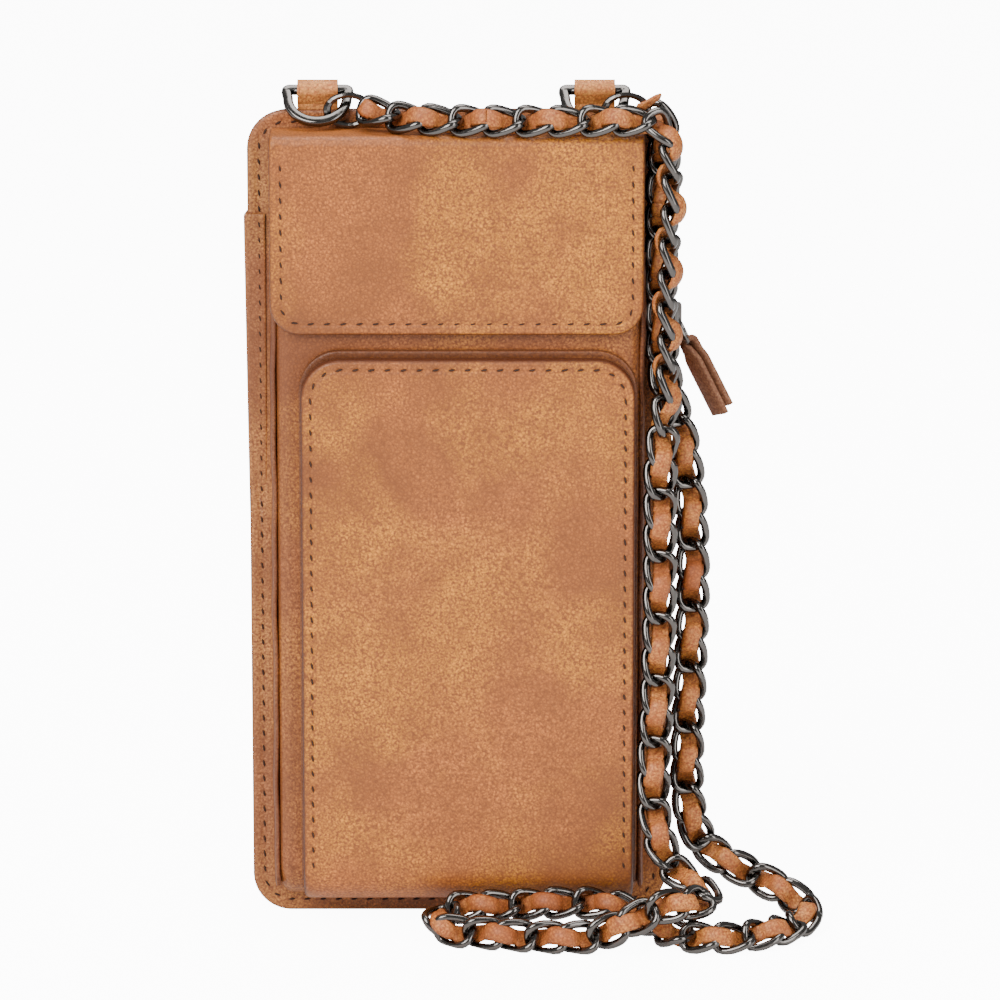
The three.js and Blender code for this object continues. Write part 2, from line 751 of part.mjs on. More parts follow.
addPanels();
addLowerGusset();
addZip();
addEndTab("zip_end_tab_left", -1, ZIP.leftEnd, END_TAB.leftLength);
addEndTab("zip_end_tab_right", 1, ZIP.rightEnd, END_TAB.rightLength);
addSlider();
addPull();
addPhonePocket();
addSideGusset("phone_pocket_gusset_left", -1, SIDE_GUSSET.bulgeLeft);
addSideGusset("phone_pocket_gusset_right", 1, SIDE_GUSSET.bulgeRight);
addSlipPocket();
addFlap();
["left", "right"].forEach((side, index) => {
  addTab(`strap_tab_${side}`, TABS.centres[index]);
  addRing(`d_ring_${side}`, TABS.centres[index]);
  addEndLink(`chain_end_link_${side}`, TABS.centres[index]);
});
addStrap();

const object = new THREE.Group();
object.add(wallet, strap);

// The origin goes under the middle of the wallet's own box, without its strap.
wallet.updateMatrixWorld(true);
const walletBox = new THREE.Box3().setFromObject(wallet, true);
const middle = walletBox.getCenter(new THREE.Vector3());
object.position.set(-middle.x, -middle.y, -walletBox.min.z);

export default object;
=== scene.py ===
"""Crossbody phone wallet in tan leather, with a flap pocket, a slip pocket and a laced chain strap.

Lengths are millimetres from the middle of the front panel's lower edge: X to the right, Y into the
wallet, Z up. at() turns them into metres in the shared frame.
"""
import math
import random
import bpy
import numpy as np
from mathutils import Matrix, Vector


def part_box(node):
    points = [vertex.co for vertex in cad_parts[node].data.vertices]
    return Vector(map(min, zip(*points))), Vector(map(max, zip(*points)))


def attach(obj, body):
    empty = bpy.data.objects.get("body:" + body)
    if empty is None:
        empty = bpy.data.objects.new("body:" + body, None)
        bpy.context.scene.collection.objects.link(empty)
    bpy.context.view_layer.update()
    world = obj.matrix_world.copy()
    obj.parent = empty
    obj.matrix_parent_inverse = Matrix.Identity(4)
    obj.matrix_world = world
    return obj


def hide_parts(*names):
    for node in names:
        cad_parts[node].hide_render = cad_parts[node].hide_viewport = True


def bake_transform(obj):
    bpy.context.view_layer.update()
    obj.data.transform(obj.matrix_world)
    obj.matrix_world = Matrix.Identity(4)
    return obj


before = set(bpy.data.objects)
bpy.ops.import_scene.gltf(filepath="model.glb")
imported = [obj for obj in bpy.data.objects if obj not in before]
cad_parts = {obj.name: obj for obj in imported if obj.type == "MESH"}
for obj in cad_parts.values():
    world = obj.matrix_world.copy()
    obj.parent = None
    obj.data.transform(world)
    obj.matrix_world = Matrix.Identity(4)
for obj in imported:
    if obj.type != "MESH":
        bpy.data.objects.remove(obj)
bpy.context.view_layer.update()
random.seed(7)

low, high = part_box("front_panel")
SHIFT = np.array([(low[0] + high[0]) / 2, low[1], low[2]])


def at(x, y, z):
    """A point in millimetres, as metres in the shared frame."""
    return np.array([x, y, z]) / 1000 + SHIFT


# ---------------------------------------------------------------- camera

ELEVATION = math.radians(13)
AIM = Vector(at(9.5, 0, 98.8))
DISTANCE = 1.4
SENSOR, LENS = 36, 218

camera_data = bpy.data.cameras.new("camera")
camera = bpy.data.objects.new("camera", camera_data)
bpy.context.scene.collection.objects.link(camera)
camera.location = AIM + DISTANCE * Vector((0, -math.cos(ELEVATION), math.sin(ELEVATION)))
camera.rotation_euler = (math.pi / 2 - ELEVATION, 0, 0)
camera_data.sensor_width = SENSOR
camera_data.lens = LENS
bpy.context.scene.camera = camera


# ---------------------------------------------------------------- materials

def srgb(r, g, b):
    """A colour from 0 to 255 as the linear colour a shader takes."""
    def one(v):
        v /= 255
        return v / 12.92 if v <= 0.04045 else ((v + 0.055) / 1.055) ** 2.4
    return (one(r), one(g), one(b), 1)


def new_material(name):
    made = bpy.data.materials.new(name)
    made.use_nodes = True
    nodes, links = made.node_tree.nodes, made.node_tree.links
    return made, nodes, links, nodes["Principled BSDF"]


def texture(nodes, links, kind, scale, detail=2):
    """A procedural texture in object space, so its grain keeps its real size."""
    coordinates = nodes.new("ShaderNodeTexCoord")
    made = nodes.new(kind)
    links.new(coordinates.outputs["Object"], made.inputs["Vector"])
    made.inputs["Scale"].default_value = scale
    if "Detail" in made.inputs:
        made.inputs["Detail"].default_value = detail
    return made


def ramp(nodes, links, source, low, high):
    """Spreads a noise's usual range, 0.3 to 0.7, over low to high."""
    made = nodes.new("ShaderNodeMapRange")
    links.new(source, made.inputs["Value"])
    made.inputs["From Min"].default_value = 0.3
    made.inputs["From Max"].default_value = 0.7
    made.inputs["To Min"].default_value = low
    made.inputs["To Max"].default_value = high
    return made.outputs["Result"]


def mix(nodes, links, factor, a, b):
    """Mixes two colours, each a constant or a socket."""
    made = nodes.new("ShaderNodeMix")
    made.data_type = "RGBA"
    links.new(factor, made.inputs["Factor"])
    for value, name in ((a, 6), (b, 7)):
        if isinstance(value, tuple):
            made.inputs[name].default_value = value
        else:
            links.new(value, made.inputs[name])
    return made.outputs[2]


def bump(nodes, links, height, distance, strength=1.0, below=None):
    made = nodes.new("ShaderNodeBump")
    made.inputs["Distance"].default_value = distance
    made.inputs["Strength"].default_value = strength
    links.new(height, made.inputs["Height"])
    if below is not None:
        links.new(below, made.inputs["Normal"])
    return made.outputs["Normal"]


def leather(name, base, deep, gold, edge, roughness=0.42):
    """Pull-up leather: cloudy, with golden patches and a fine crackle that is dark in its pores.
    The edge attribute turns it towards the paint colour, which on the slip pocket also gives a painted
    shadow."""
    made, nodes, links, shader = new_material(name)
    cloud = texture(nodes, links, "ShaderNodeTexNoise", 30, 3)
    colour = mix(nodes, links, ramp(nodes, links, cloud.outputs["Fac"], -0.55, 1.25), base, deep)
    patch = texture(nodes, links, "ShaderNodeTexNoise", 34, 3)
    patch.noise_dimensions = "4D"
    patch.inputs["W"].default_value = 3.1
    colour = mix(nodes, links, ramp(nodes, links, patch.outputs["Fac"], -1.0, 1.7), colour, gold)
    blotch = texture(nodes, links, "ShaderNodeTexNoise", 150, 4)
    colour = mix(nodes, links, ramp(nodes, links, blotch.outputs["Fac"], -0.15, 0.5), colour, deep)
    speck = texture(nodes, links, "ShaderNodeTexNoise", 1700, 3)
    grain = ramp(nodes, links, speck.outputs["Fac"], -0.5, 1.35)
    colour = mix(nodes, links, grain, colour, deep)
    crackle = texture(nodes, links, "ShaderNodeTexVoronoi", 1150)
    crackle.feature = "DISTANCE_TO_EDGE"
    pore = nodes.new("ShaderNodeMapRange")
    links.new(crackle.outputs["Distance"], pore.inputs["Value"])
    pore.inputs["From Max"].default_value = 0.2
    pore.inputs["To Min"].default_value = 0.55
    pore.inputs["To Max"].default_value = 0
    colour = mix(nodes, links, pore.outputs["Result"], colour, edge)
    painted = nodes.new("ShaderNodeAttribute")
    painted.attribute_name = "edge"
    colour = mix(nodes, links, painted.outputs["Fac"], colour, edge)
    links.new(colour, shader.inputs["Base Color"])
    links.new(ramp(nodes, links, speck.outputs["Fac"], roughness - 0.05, roughness + 0.12),
              shader.inputs["Roughness"])
    shader.inputs["Specular IOR Level"].default_value = 0.4
    wave = texture(nodes, links, "ShaderNodeTexNoise", 160, 4)
    first = bump(nodes, links, wave.outputs["Fac"], 0.0003, 0.35)
    links.new(bump(nodes, links, speck.outputs["Fac"], 0.0002, 0.6, first),
              shader.inputs["Normal"])
    return made


def metal(name, colour, roughness):
    made, nodes, links, shader = new_material(name)
    shader.inputs["Base Color"].default_value = colour
    shader.inputs["Metallic"].default_value = 1
    rub = texture(nodes, links, "ShaderNodeTexNoise", 700, 3)
    links.new(ramp(nodes, links, rub.outputs["Fac"], roughness - 0.05, roughness + 0.1),
              shader.inputs["Roughness"])
    links.new(bump(nodes, links, rub.outputs["Fac"], 0.00003, 0.3), shader.inputs["Normal"])
    return made


def cloth(name, colour, deep, scale):
    made, nodes, links, shader = new_material(name)
    weave = texture(nodes, links, "ShaderNodeTexNoise", scale, 1)
    links.new(mix(nodes, links, ramp(nodes, links, weave.outputs["Fac"], 0, 1), colour, deep),
              shader.inputs["Base Color"])
    shader.inputs["Roughness"].default_value = 0.9
    links.new(bump(nodes, links, weave.outputs["Fac"], 0.0001, 0.5), shader.inputs["Normal"])
    return made


EDGE = srgb(84, 40, 16)
TAN = leather("tan leather", srgb(220, 128, 56), srgb(158, 91, 42), srgb(246, 156, 46), EDGE)
SHADE = leather("panel leather", srgb(208, 130, 76), srgb(150, 88, 48), srgb(226, 150, 76), EDGE)
WALL = leather("wall leather", srgb(196, 116, 62), srgb(142, 80, 40), srgb(214, 134, 60), EDGE)
TAN_SIDE = leather("side leather", srgb(202, 128, 80), srgb(156, 92, 54), srgb(214, 138, 76), EDGE)
# A darker copy of the leather: painted shade for the gussets, which sit back in the recess beside the
# pocket.
SHADED_FOLD = leather("folded leather painted shade", srgb(158, 96, 58), srgb(120, 68, 40), srgb(176, 108, 58), EDGE)
LACE = leather("lace leather", srgb(228, 140, 72), srgb(180, 96, 46), srgb(240, 156, 76), EDGE, 0.5)
SUEDE = leather("pull leather", srgb(168, 116, 84), srgb(132, 86, 60), srgb(174, 122, 88), EDGE, 0.7)
PAINT = leather("edge paint", srgb(138, 80, 42), srgb(104, 58, 30), srgb(150, 92, 50), EDGE)
THREAD = cloth("thread", srgb(70, 38, 20), srgb(44, 24, 12), 4000)
TAPE = cloth("zip tape", srgb(110, 76, 50), srgb(80, 54, 36), 2500)
LINING = cloth("lining", srgb(74, 54, 40), srgb(58, 42, 32), 2500)
FOAM = cloth("foam", srgb(216, 208, 192), srgb(196, 188, 170), 1500)
BOARD = cloth("board", srgb(180, 154, 120), srgb(160, 134, 102), 1500)
# The strap tabs' leather is the tan made lighter: painted light, as if the tabs were lit from above.
LIT_TAB = leather("tab leather painted light", srgb(250, 166, 90), srgb(206, 120, 60), srgb(255, 178, 90), EDGE)
GUNMETAL = metal("gunmetal", srgb(100, 96, 93), 0.12)
STEEL = metal("steel", srgb(170, 172, 176), 0.3)


# ---------------------------------------------------------------- mesh helpers

def mesh_object(name, points, faces, look, smooth=True, values=None):
    """A mesh in the shared frame from points in millimetres."""
    name = name.replace(" ", "_")
    data = bpy.data.meshes.new(name)
    spread = np.asarray(points, float) / 1000 + SHIFT
    data.from_pydata(spread.tolist(), [], faces)
    if values is not None:
        data.attributes.new("edge", "FLOAT", "POINT").data.foreach_set(
            "value", np.asarray(values, np.float32))
    data.update()
    made = bpy.data.objects.new(name, data)
    bpy.context.scene.collection.objects.link(made)
    data.materials.append(look)
    data.polygons.foreach_set("use_smooth", [smooth] * len(data.polygons))
    return made


def join_parts(name, parts, look, smooth=True):
    """Joins (points, faces) pairs into one object."""
    points, faces, count = [], [], 0
    for part_points, part_faces in parts:
        points.append(np.asarray(part_points, float))
        faces += [[i + count for i in face] for face in part_faces]
        count += len(part_points)
    return mesh_object(name, np.vstack(points), faces, look, smooth)


def clustered(count, power=2.2):
    """Values from -1 to 1 that crowd towards both ends."""
    t = np.linspace(-1, 1, count)
    return np.sign(t) * (1 - (1 - np.abs(t)) ** power)


def stations(length, count, near_start, near_end):
    """Distances along a path, closer together at the ends that are rounded."""
    t = np.linspace(0, 1, count)
    if near_start and near_end:
        return length * (1 - np.cos(np.pi * t)) / 2
    if near_end:
        return length * np.sin(np.pi * t / 2)
    if near_start:
        return length * (1 - np.cos(np.pi * t / 2))
    return length * t


class Path:
    """A line in Y and Z that a skin follows. Its outer side is on the left of its direction."""

    def __init__(self, points):
        self.points = np.asarray(points, float)
        steps = np.linalg.norm(np.diff(self.points, axis=0), axis=1)
        self.marks = np.concatenate([[0], np.cumsum(steps)])
        self.length = self.marks[-1]

    def point(self, s):
        return np.stack([np.interp(s, self.marks, self.points[:, i]) for i in (0, 1)], -1)

    def normal(self, s):
        along = self.point(np.minimum(s + 0.4, self.length)) - self.point(np.maximum(s - 0.4, 0))
        along /= np.linalg.norm(along, axis=-1, keepdims=True)
        return np.stack([along[..., 1], -along[..., 0]], -1)


def skin(name, path, left, right, thick, roll, look, corners=(0, 0), relief=None,
         paint=None, across=61, along=81, ends=(True, True), wrap=False):
    """A leather piece that follows path, with rolled edges.

    corners are the corner radii at the path's start and end. ends says which of them is a free
    edge. relief(x, s, d) lifts the face, d being the distance in from the nearest edge. With wrap
    the back follows the rolled edge, as a wall's does where it turns towards its gusset."""
    start_radius, end_radius = corners
    s = stations(path.length, along, ends[0], ends[1])
    middle, half = (left + right) / 2, (right - left) / 2
    reach = np.full_like(s, half)
    for radius, from_end in ((start_radius, s), (end_radius, path.length - s)):
        if radius:
            inside = np.clip(radius - from_end, 0, radius)
            reach -= radius - np.sqrt(np.maximum(radius ** 2 - inside ** 2, 0))
    u = clustered(across)
    x = middle + reach[:, None] * u[None, :]
    grid = np.repeat(s[:, None], across, axis=1)
    gap_side = half - np.abs(x - middle)
    far = np.full_like(grid, 1e3)
    gap_start = grid if ends[0] else far
    gap_end = path.length - grid if ends[1] else far

    def inset(gap_along, radius):
        if not radius:
            return np.minimum(gap_side, gap_along)
        a, b = np.clip(radius - gap_side, 0, None), np.clip(radius - gap_along, 0, None)
        return np.where((a > 0) & (b > 0), radius - np.hypot(a, b),
                        np.minimum(gap_side, gap_along))

    d = np.maximum(np.minimum(inset(gap_start, start_radius), inset(gap_end, end_radius)), 0)
    inside = np.clip(roll - d, 0, roll)
    drop = roll - np.sqrt(np.maximum(roll ** 2 - inside ** 2, 0))
    lift = -drop
    if relief is not None:
        lift = lift + relief(x, grid, d)
    centre, normal = path.point(grid), path.normal(grid)
    outer = centre + normal * lift[..., None]
    back = np.minimum(roll, thick * 0.4) * np.clip(1 - d / 0.8, 0, 1) ** 2
    if wrap:
        back = -drop
    inner = centre - normal * (thick - back)[..., None]
    rows, columns = x.shape
    size = rows * columns
    points = np.concatenate([
        np.dstack([x, outer]).reshape(-1, 3),
        np.dstack([x, inner]).reshape(-1, 3),
    ])
    faces = []
    for i in range(rows - 1):
        for j in range(columns - 1):
            a, b = i * columns + j, i * columns + j + 1
            c, e = b + columns, a + columns
            faces.append([a, e, c, b])
            faces.append([a + size, b + size, c + size, e + size])
    rim = [j for j in range(columns)]
    rim += [i * columns + columns - 1 for i in range(1, rows)]
    rim += [(rows - 1) * columns + j for j in range(columns - 2, -1, -1)]
    rim += [i * columns for i in range(rows - 2, 0, -1)]
    for a, b in zip(rim, rim[1:] + rim[:1]):
        faces.append([a, b, b + size, a + size])
    value = np.zeros(size) if paint is None else paint(x, grid, d).reshape(-1)
    values = np.concatenate([value, np.ones(size)])
    return mesh_object(name, points, faces, look, True, values)


def groove(d, inset, depth, width):
    """How far the leather sinks along its stitches. d is the distance in from the edge."""
    return -depth * np.exp(-((d - inset) / width) ** 2)


CAPSULE_RINGS, CAPSULE_SIDES = 5, 6


def capsule(centre, along, out, length, width, height):
    """One stitch: a small rounded grain that lies along the seam."""
    side = np.cross(along, out)
    points = []
    for i in range(CAPSULE_RINGS):
        t = -1 + 2 * i / (CAPSULE_RINGS - 1)
        fat = math.sqrt(max(1 - abs(t) ** 2.6, 0.04))
        for j in range(CAPSULE_SIDES):
            angle = 2 * math.pi * j / CAPSULE_SIDES
            points.append(centre + along * (t * length / 2)
                          + side * (fat * math.cos(angle) * width / 2)
                          + out * (fat * math.sin(angle) * height / 2))
    faces = [[j for j in range(CAPSULE_SIDES)][::-1],
             [j + (CAPSULE_RINGS - 1) * CAPSULE_SIDES for j in range(CAPSULE_SIDES)]]
    for i in range(CAPSULE_RINGS - 1):
        for j in range(CAPSULE_SIDES):
            k = (j + 1) % CAPSULE_SIDES
            a, b = i * CAPSULE_SIDES, (i + 1) * CAPSULE_SIDES
            faces.append([a + j, a + k, b + k, b + j])
    return points, faces


def stitches(name, line, out, pitch=3.65, length=1.6, width=0.52, slant=12):
    """A row of stitches along a line of points in millimetres. out(point) is the face's normal."""
    line = np.asarray(line, float)
    marks = np.concatenate([[0], np.cumsum(np.linalg.norm(np.diff(line, axis=0), axis=1))])
    count = max(int(marks[-1] // pitch), 1)
    parts = []
    turn = math.radians(slant)
    for k in range(count):
        s = marks[-1] * (k + 0.5) / count
        here = np.array([np.interp(s, marks, line[:, i]) for i in range(3)])
        ahead = np.array([np.interp(min(s + 0.6, marks[-1]), marks, line[:, i]) for i in range(3)])
        behind = np.array([np.interp(max(s - 0.6, 0), marks, line[:, i]) for i in range(3)])
        normal = np.asarray(out(here), float)
        normal /= np.linalg.norm(normal)
        along = (ahead - behind) / np.linalg.norm(ahead - behind)
        side = np.cross(normal, along)
        tilted = along * math.cos(turn) + side * math.sin(turn)
        tilted /= np.linalg.norm(tilted)
        size = length * random.uniform(0.92, 1.06)
        parts.append(capsule(here, tilted, normal, size, width, 0.55))
    return join_parts(name, parts, THREAD)


def rounded_line(left, right, bottom, top, radius, y, open_top=False, steps=8):
    """The outline of a seam, counter-clockwise from the upper left corner."""
    points = []
    quarter = np.linspace(0, math.pi / 2, steps)
    if open_top:
        points.append((left, y, top))
    else:
        points += [(left + radius - radius * math.sin(a), y, top - radius + radius * math.cos(a))
                   for a in quarter]
    points += [(left + radius - radius * math.cos(a), y, bottom + radius - radius * math.sin(a))
               for a in quarter]
    points += [(right - radius + radius * math.sin(a), y, bottom + radius - radius * math.cos(a))
               for a in quarter]
    if open_top:
        points.append((right, y, top))
    else:
        points += [(right - radius + radius * math.cos(a), y, top - radius + radius * math.sin(a))
                   for a in quarter]
        points.append(points[0])
    return points


def front_out(_):
    return (0, -1, 0)


def dress(node, look, bevel=0.0, smooth=False):
    """A CAD node shown as it is, in its material, with softened edges."""
    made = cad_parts[node]
    made.data.materials.clear()
    made.data.materials.append(look)
    if bevel:
        soft = made.modifiers.new("soft edges", "BEVEL")
        soft.width = bevel / 1000
        soft.segments = 3
        soft.limit_method = "ANGLE"
        soft.angle_limit = math.radians(38)
        soft.harden_normals = False
    for polygon in made.data.polygons:
        polygon.use_smooth = smooth or bool(bevel)


def arc(centre, radius, start, stop, steps=14):
    """Points in Y and Z on a circle or an ellipse, angles in degrees."""
    ry, rz = radius if isinstance(radius, tuple) else (radius, radius)
    return [(centre[0] + ry * math.cos(math.radians(a)), centre[1] + rz * math.sin(math.radians(a)))
            for a in np.linspace(start, stop, steps)]


def ribbon(name, centres, wides, widths, thick, look, bulge=0.25):
    """A leather strip along centres. wides are its width directions."""
    centres, wides = np.asarray(centres, float), np.asarray(wides, float)
    alongs = np.gradient(centres, axis=0)
    points, faces = [], []
    profile = ((-0.5, -0.3), (-0.44, -0.5), (0, -0.5 - bulge), (0.44, -0.5), (0.5, -0.3),
               (0.5, 0.3), (0.44, 0.5), (0, 0.5), (-0.44, 0.5), (-0.5, 0.3))
    count = len(profile)
    for centre, wide, along, width in zip(centres, wides, alongs, widths):
        wide = wide / np.linalg.norm(wide)
        out = np.cross(along / np.linalg.norm(along), wide)
        points += [centre + wide * (a * width) + out * (b * thick) for a, b in profile]
    for i in range(len(centres) - 1):
        for j in range(count):
            m = (j + 1) % count
            a, b = i * count, (i + 1) * count
            faces.append([a + j, b + j, b + m, a + m])
    faces.append(list(range(count)))
    faces.append([len(points) - count + j for j in range(count)][::-1])
    return mesh_object(name, points, faces, look)


# ---------------------------------------------------------------- strap: a laced curb chain

# The strap's route, the same as its solids follow.
ROUTE = [
    (-21, -3.2, 190.4), (-18.9, -5.2, 190.3), (-11.5, -8.2, 189.4), (0, -10.2, 189.2),
    (14, -11.2, 189.2), (27.5, -11.9, 189.3), (38.5, -12.1, 189.5), (44.7, -12.3, 188.9),
    (47.8, -12.9, 182.9), (48.4, -13.4, 172.5), (47.9, -13.5, 160), (47.5, -13.5, 148),
    (47.7, -13.5, 136.3), (47.5, -14, 125.2), (46.3, -14.2, 111.7), (46.2, -14.4, 96.8),
    (46.2, -14.4, 77.9), (45.7, -14.6, 54.9), (45, -15, 36.8), (45.8, -16.6, 24.5),
    (49.5, -18.7, 16.2), (54.8, -21.4, 12), (56.8, -26.9, 11.2), (52.7, -31.4, 11),
    (45.7, -33.8, 10.6), (38.7, -35.2, 7.6), (30.9, -34, 4), (20.9, -33, 3.3), (11, -31, 3.3),
    (3.5, -29, 3.3), (-2, -27.4, 3.4), (-4.6, -24, 4.6), (-2.2, -20.6, 6.2), (3, -19.7, 6.9),
    (9, -20.2, 7.1), (18, -20.4, 7.6), (27, -20.2, 7.9), (35.6, -20, 7), (41.6, -22, 5.2),
    (45.5, -25, 3.7), (50, -30, 3.3), (57, -33.3, 3.3), (65.6, -31.9, 3.3), (74.1, -26.5, 3.3),
    (79.6, -18.9, 3.3), (80.5, -11.5, 3.4), (78.6, -6, 4.4), (73.8, -3.2, 6.8), (67.3, -2, 10),
    (60.3, -2.2, 14), (55.5, -3.2, 20), (53.3, -4.6, 29.2), (53.1, -5.2, 43.5), (53.6, -6, 61.7),
    (54, -6.5, 79.8), (53.4, -6.5, 98.8), (51.2, -6, 114.7), (47.4, -4.8, 128.6),
    (46.3, -4.5, 143.3), (46.2, -4.4, 159), (46.4, -4.3, 172.7), (46.7, -4, 183.5),
    (45.4, -3, 188), (42.8, -2.2, 190),
]
PITCH = 7.3
LINK_LONG, LINK_WIDE, LINK_WIRE = 4.5, 3.2, 0.95   # half the length and width, and the wire's radius
LINK_TILT, LINK_TWIST = math.radians(18), 1.35
LINK_SQUARENESS = 0.85   # below 1 an oval turns towards a rounded oblong
LACE_WIDTH, LACE_THICK, LACE_RISE, LACE_SWAY = 4.5, 1.2, 2.5, 0.35
LACE_SECTION = ((-1, -0.3), (-0.7, 0.5), (0, 0.62), (0.7, 0.5), (1, -0.3),
                (0.7, -0.5), (0, -0.42), (-0.7, -0.5))   # in half widths and thicknesses
LACE_SET_BACK = 1.2      # the lace starts this far in from each end link
LEFT_LINKS, RIGHT_LINKS = 4, 3   # these follow the rings
FACING = np.array((0, -0.86, 0.5))
RESTING = 0.05           # the links that lie on the floor don't sink into it
# Below the corner the front strand hangs turned on its edge, between these distances along it.
EDGE_ON, EDGE_ON_FROM, EDGE_ON_TO = math.radians(-62), 64, 146
EDGE_ON_EASE_IN, EDGE_ON_EASE_OUT = 14, 20


def rounded(angle, power):
    """The cosine and sine of an angle, pushed outwards by a power below 1."""
    return tuple(math.copysign(abs(v) ** power, v) for v in (math.cos(angle), math.sin(angle)))


def tube_faces(rings, sides, closed):
    """Quads between neighbouring rings of a tube, round to the first ring again if closed."""
    return [[i * sides + j, i * sides + (j + 1) % sides,
             (i + 1) % rings * sides + (j + 1) % sides, (i + 1) % rings * sides + j]
            for i in range(rings if closed else rings - 1) for j in range(sides)]


def smooth_route(points, step=0.6):
    """A smooth curve through the points, at even steps, with a frame that faces the front."""
    p = np.asarray(points, float)
    p = np.vstack([2 * p[0] - p[1], p, 2 * p[-1] - p[-2]])
    curve = []
    for i in range(1, len(p) - 2):
        a, b, c, e = p[i - 1], p[i], p[i + 1], p[i + 2]
        for t in np.linspace(0, 1, 24, endpoint=False):
            curve.append(0.5 * (2 * b + (c - a) * t + (2 * a - 5 * b + 4 * c - e) * t * t
                                + (3 * b - a - 3 * c + e) * t ** 3))
    curve.append(p[-2])
    curve = np.array(curve)
    marks = np.concatenate([[0], np.cumsum(np.linalg.norm(np.diff(curve, axis=0), axis=1))])
    s = np.linspace(0, marks[-1], int(marks[-1] / step) + 1)
    even = np.stack([np.interp(s, marks, curve[:, i]) for i in range(3)], -1)
    along = np.gradient(even, axis=0)
    along /= np.linalg.norm(along, axis=1, keepdims=True)
    out = FACING - along * (along @ FACING)[:, None]
    out /= np.linalg.norm(out, axis=1, keepdims=True)
    return s, even, along, out


class Strap:
    """The laced chain: links and lace are placed by their distance s along the route."""

    def __init__(self):
        self.s, self.points, self.along, self.out = smooth_route(ROUTE)
        self.length = self.s[-1]
        self.count = int(round(self.length / PITCH))
        self.pitch = self.length / self.count

    def frame(self, s):
        """The centre, the direction, the side that shows and the width direction at s."""
        def read(values):
            return np.array([np.interp(s, self.s, values[:, i]) for i in range(3)])

        along, out = read(self.along), read(self.out)
        along /= np.linalg.norm(along)
        out -= along * (out @ along)
        out /= np.linalg.norm(out)
        side = np.cross(along, out)
        turn = (EDGE_ON * np.clip((s - EDGE_ON_FROM) / EDGE_ON_EASE_IN, 0, 1)
                * np.clip((EDGE_ON_TO - s) / EDGE_ON_EASE_OUT, 0, 1))
        out, side = (out * math.cos(turn) + side * math.sin(turn),
                     side * math.cos(turn) - out * math.sin(turn))
        return read(self.points), along, out, side

    def link(self, k, around=26, sides=8):
        """One curb link: an oval ring, tilted about the strap and twisted out of its own plane."""
        centre, along, out, side = self.frame(min((k + 0.5) * self.pitch, self.length))
        wide = side * math.cos(LINK_TILT) + out * math.sin(LINK_TILT)
        up = out * math.cos(LINK_TILT) - side * math.sin(LINK_TILT)
        line = []
        for i in range(around):
            a = 2 * math.pi * i / around
            x, y = rounded(a, LINK_SQUARENESS)
            line.append(centre + along * (LINK_LONG * x) + wide * (LINK_WIDE * y)
                        + up * LINK_TWIST * math.sin(2 * a))
        line = np.array(line)
        points = []
        for i in range(around):
            forward = line[(i + 1) % around] - line[i - 1]
            forward /= np.linalg.norm(forward)
            first = np.cross(forward, up)
            first /= np.linalg.norm(first)
            second = np.cross(forward, first)
            for j in range(sides):
                b = 2 * math.pi * j / sides
                point = line[i] + LINK_WIRE * (first * math.cos(b) + second * math.sin(b))
                point[2] = max(point[2], RESTING)
                points.append(point)
        return points, tube_faces(around, sides, True)

    def lace(self, start, stop, step=0.7):
        """A flat leather lace that goes over one joint of the chain and under the next."""
        points = []
        marks = np.arange(start, stop, step)
        for s in marks:
            centre, along, out, side = self.frame(s)
            wave = math.cos(math.pi * s / self.pitch)
            height = LACE_RISE * math.copysign(abs(wave) ** 0.55, wave)
            shift = LACE_SWAY * math.sin(math.pi * s / self.pitch)
            half = LACE_WIDTH / 2 * (0.8 + 0.2 * abs(wave) ** 0.5)
            for x, y in LACE_SECTION:
                lean = y * LACE_THICK * (1 if wave > 0 else -1)
                points.append(centre + side * (x * half + shift) + out * (height + lean))
        sides = len(LACE_SECTION)
        faces = tube_faces(len(marks), sides, False)
        faces.append(list(range(sides))[::-1])
        faces.append([len(points) - sides + j for j in range(sides)])
        return points, faces


strap = Strap()


def strap_piece(name, first, last):
    """The links from first up to last, and the lace that runs through them."""
    links = join_parts(f"{name} links", [strap.link(k) for k in range(first, last)], GUNMETAL)
    start, stop = first * strap.pitch, last * strap.pitch
    start += LACE_SET_BACK if first == 0 else 0
    stop -= LACE_SET_BACK if last == strap.count else 0
    lace_points, lace_faces = strap.lace(start, stop)
    lace = mesh_object(f"{name} lace", lace_points, lace_faces, LACE)
    return links, lace


main_links, main_lace = strap_piece("strap", LEFT_LINKS, strap.count - RIGHT_LINKS)
left_links, left_lace = strap_piece("strap left end", 0, LEFT_LINKS)
right_links, right_lace = strap_piece("strap right end", strap.count - RIGHT_LINKS, strap.count)
for piece in (main_links, main_lace):
    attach(piece, "wallet")
for piece in (left_links, left_lace):
    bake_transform(piece)
for piece in (right_links, right_lace):
    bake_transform(piece)
tail_line = [(40.2, -8.6, 191.4), (41.6, -8.7, 192.0), (43.2, -8.5, 193.0), (44.6, -8.2, 193.9),
             (45.8, -8.0, 194.5)]
tail = ribbon("lace tail", tail_line, [(0.3, -0.4, 0.8)] * 5, (3.4, 3.2, 2.8, 2.1, 1.2), 1.0, LACE)
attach(tail, "wallet")
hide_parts("chain_front_strand", "chain_floor_loop", "chain_rear_strand")


# ---------------------------------------------------------------- zip compartment

HALF, TALL, CORNER = 48.3, 190.0, 9.0
BACK_HALF, BACK_TALL, BACK_CORNER = 47.5, 188.5, 8.5


SEAM_INSET = 2.7
END_TAB_TOP, END_TAB_LOW, END_TAB_PROUD, END_TAB_SUNK = 166, 88, 0.66, 0.3
END_TAB_LEG, END_TAB_ROUND = -44.2, 0.8
NARROWER_BACK = 1.1   # the wallet's side leans in by this much towards the back panel


def dense(line, step=2):
    """The same line with points in between, no more than about a step apart."""
    points = []
    for start, stop in zip(line[:-1], line[1:]):
        count = max(1, int(math.dist(start, stop) / step))
        points += [tuple(np.array(start) + (np.array(stop) - start) * i / count)
                   for i in range(count)]
    return points + [line[-1]]


